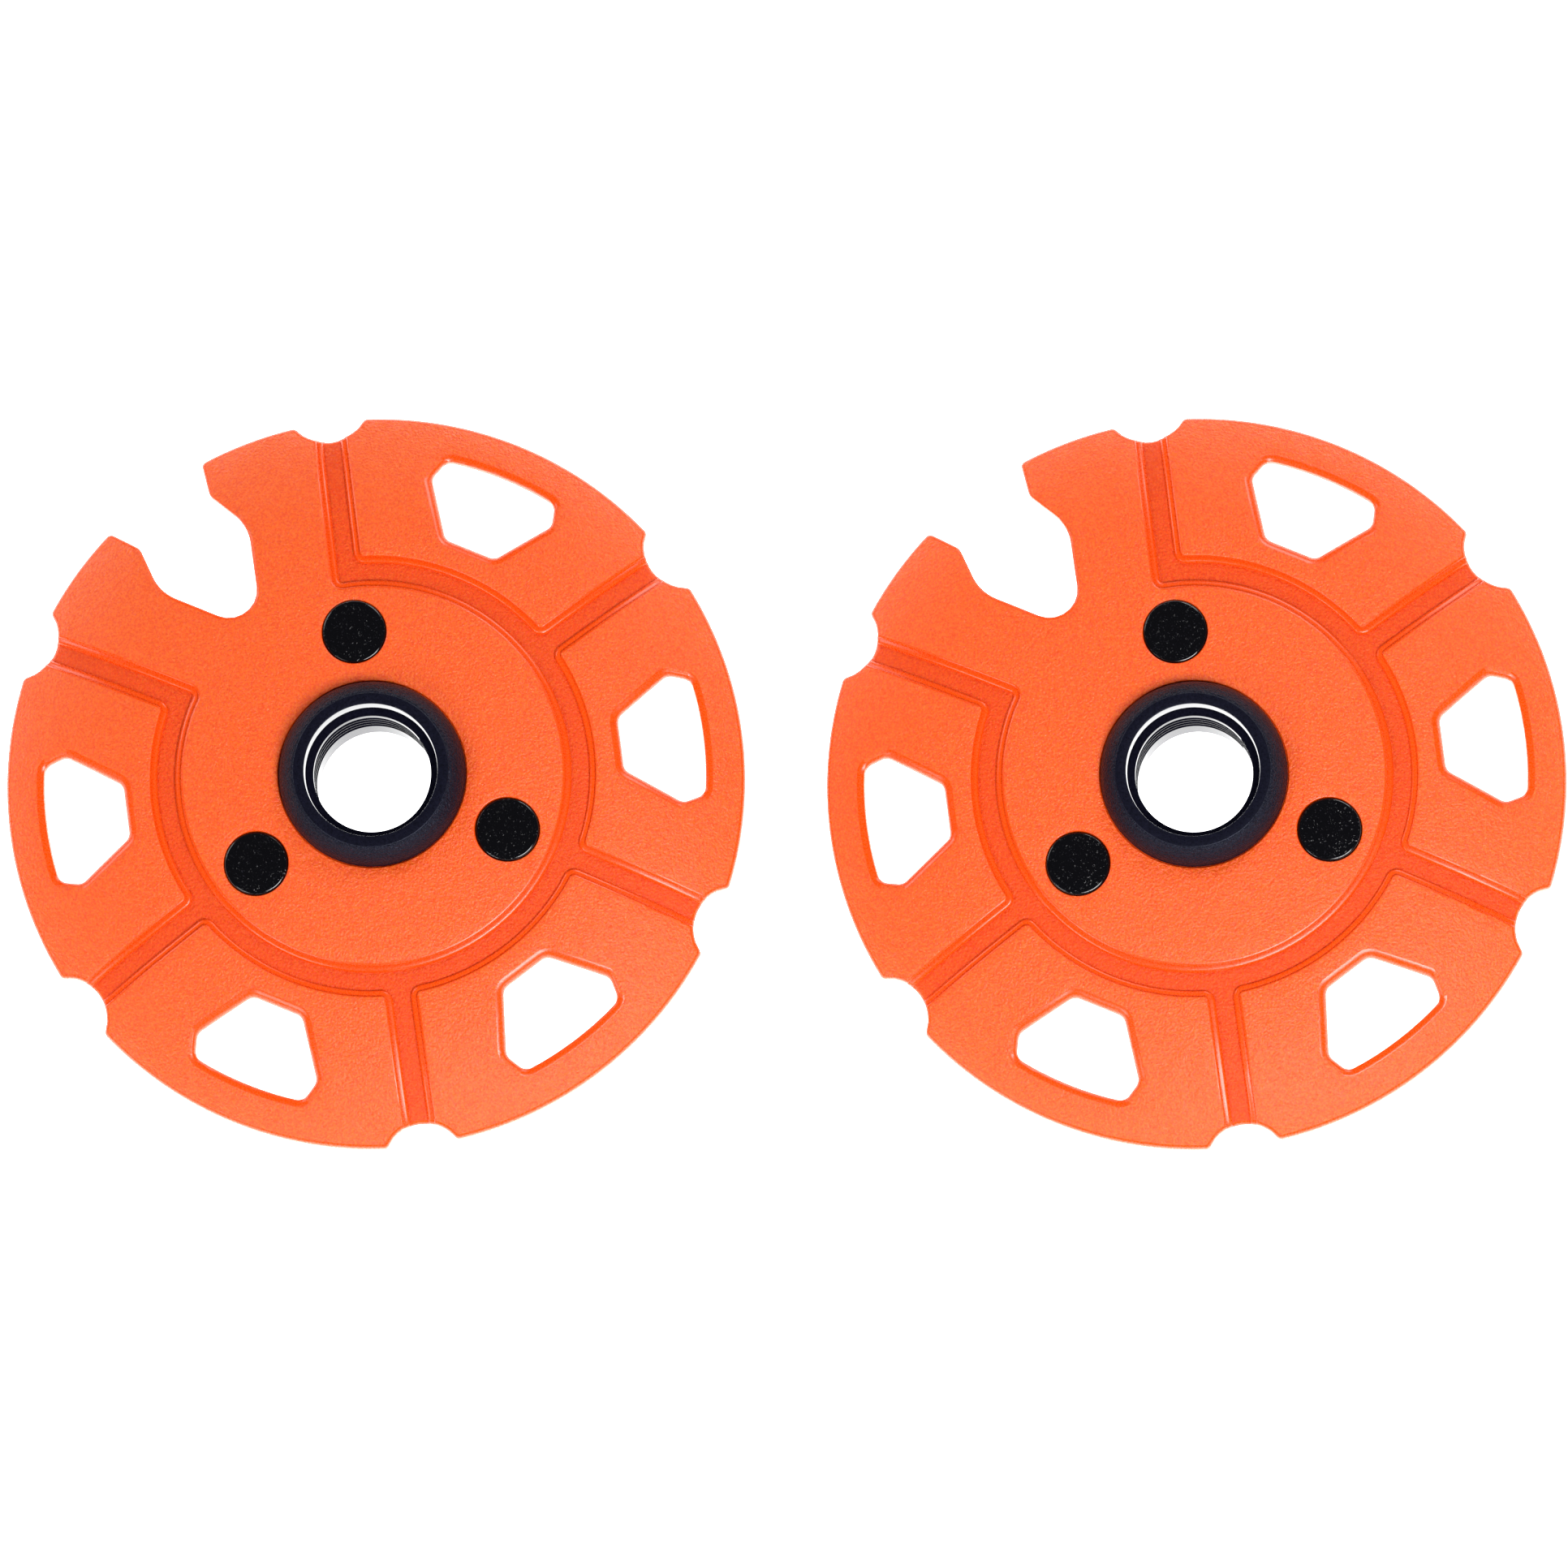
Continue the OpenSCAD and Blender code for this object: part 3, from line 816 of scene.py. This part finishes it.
def place(master, name, side, slot, extra_turn=0.0):
    """Copies a finished piece into the left (-1) or the right (1) basket."""
    piece = master.copy()
    piece.data = master.data.copy()
    piece.name = name
    bpy.context.collection.objects.link(piece)
    piece.rotation_euler.z = math.radians(TURN + extra_turn)
    piece.location.x = side * PITCH / 2
    pick(piece)
    bpy.ops.object.transform_apply(location=True, rotation=True, scale=True)
    basket = "left" if side < 0 else "right"
    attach(piece, basket + "_basket")
    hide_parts(name.replace("visual_", ""))
    return piece


def make_baskets():
    """Models and dresses each piece once, and copies it to both baskets."""
    disc = make_disc()
    smooth(disc, 40)
    dress(disc, [
        orange_plastic("grained_orange", 0.86, 0.097, 0.003, MOULDED_GRAIN, 0.42),
        orange_plastic("smooth_orange", 0.86, 0.076, 0.002, SMOOTH_GRAIN, 0.28),
        # The channels' floors: a darker orange base colour is painted shade in the recess; the higher roughness
        # and lower gloss are their finish
        orange_plastic("channel_orange_painted_shade", 0.76, 0.066, 0.002, MOULDED_GRAIN, 0.47, 0.28),
    ], disc_face)
    hub = make_hub()
    dress(hub, [
        black_plastic("grained_black", 0.00026, 0.33, 0.17),
        black_plastic("smooth_black", 0.000004, 0.3, 0.25),
        black_plastic("polished_black", 0.000001, 0.04, 1.0, POLISHED_INDEX),
        black_plastic("thread_black", 0.00001, 0.5, 0.0),
        black_plastic("lower_bore_black", 0.000004, 0.08, 0.02),
    ], hub_face)
    magnet = make_magnet()
    dress(magnet, [magnet_coating()])
    clip = make_clip()
    dress(clip, [dark_steel()])
    for side, basket in ((-1, "left"), (1, "right")):
        place(disc, f"visual_{basket}_disc", side, "orange_plastic")
        place(hub, f"visual_{basket}_hub", side, "black_plastic")
        place(clip, f"visual_{basket}_retaining_ring", side, "dark_steel")
        for i in range(3):
            place(magnet, f"visual_{basket}_magnet_{i + 1}", side, "magnet_coating", (2 * i + 1) * SECTOR)
    for master in (disc, hub, magnet, clip):
        bpy.data.objects.remove(master)


# ---------------------------------------------------------------- stage, light and camera

def make_floor():
    """A lit white table, just below the baskets."""
    deselect()
    bpy.ops.mesh.primitive_plane_add(size=6, location=(0, 0, CAD_BOX[0][2] - 0.1 * MM))
    floor = bpy.context.object
    floor.name = "table"
    material, _, _, shader = new_material("white_table")
    shader.inputs["Base Color"].default_value = (0.9, 0.9, 0.9, 1)
    shader.inputs["Roughness"].default_value = 0.9
    shader.inputs["Specular IOR Level"].default_value = 0.0
    shader.inputs["Emission Color"].default_value = (1, 1, 1, 1)
    shader.inputs["Emission Strength"].default_value = 2.8
    floor.data.materials.append(material)


def softbox(name, azimuth, elevation, width, power):
    """A square area light that looks at the middle of the pair."""
    light = bpy.data.lights.new(name, "AREA")
    light.size = width
    light.energy = power
    lamp = bpy.data.objects.new(name, light)
    bpy.context.collection.objects.link(lamp)
    flat = polar(LAMP_DISTANCE * math.cos(math.radians(elevation)), azimuth)
    lamp.location = (flat.x, flat.y, LAMP_DISTANCE * math.sin(math.radians(elevation)))
    lamp.rotation_euler = (-lamp.location).to_track_quat("-Z", "Y").to_euler()


def make_lights():
    """The lamps, and a dim sky that is lighter at the horizon."""
    world = bpy.data.worlds.new("studio")
    bpy.context.scene.world = world
    world.use_nodes = True
    nodes, links = world.node_tree.nodes, world.node_tree.links
    direction = nodes.new("ShaderNodeTexCoord")
    split = nodes.new("ShaderNodeSeparateXYZ")
    links.new(direction.outputs["Generated"], split.inputs["Vector"])
    glow = ramp(nodes, links, split.outputs["Z"], (0.0, grey(0.36)), (0.5, grey(0.05)))
    links.new(glow, nodes["Background"].inputs["Color"])
    for name, settings in LAMPS.items():
        softbox(name, *settings)


def show_true_colours():
    """Shows the plastics in their own colours, without a film look."""
    bpy.context.scene.view_settings.view_transform = "Standard"


def make_camera():
    """A long lens that looks down on the pair, leaning a little to the front and to the right."""
    camera = bpy.data.cameras.new("camera")
    camera.sensor_width = 36
    camera.lens = camera.sensor_width * CAMERA_DISTANCE / FRAME_WIDTH
    camera.clip_end = 20
    eye = bpy.data.objects.new("camera", camera)
    bpy.context.collection.objects.link(eye)
    back = Vector((math.tan(math.radians(LEAN_RIGHT)), -math.tan(math.radians(LEAN_FRONT)), 1)).normalized()
    up = back.cross(Vector((1, 0, 0))).normalized()
    right = up.cross(back)
    target = Vector((AIM_X, 0, HUB_BELOW + WALL / 2)) * MM
    eye.location = target + back * CAMERA_DISTANCE
    eye.rotation_euler = Matrix((right, up, back)).transposed().to_euler()
    bpy.context.scene.camera = eye


make_baskets()
make_floor()
make_lights()
make_camera()
show_true_colours()
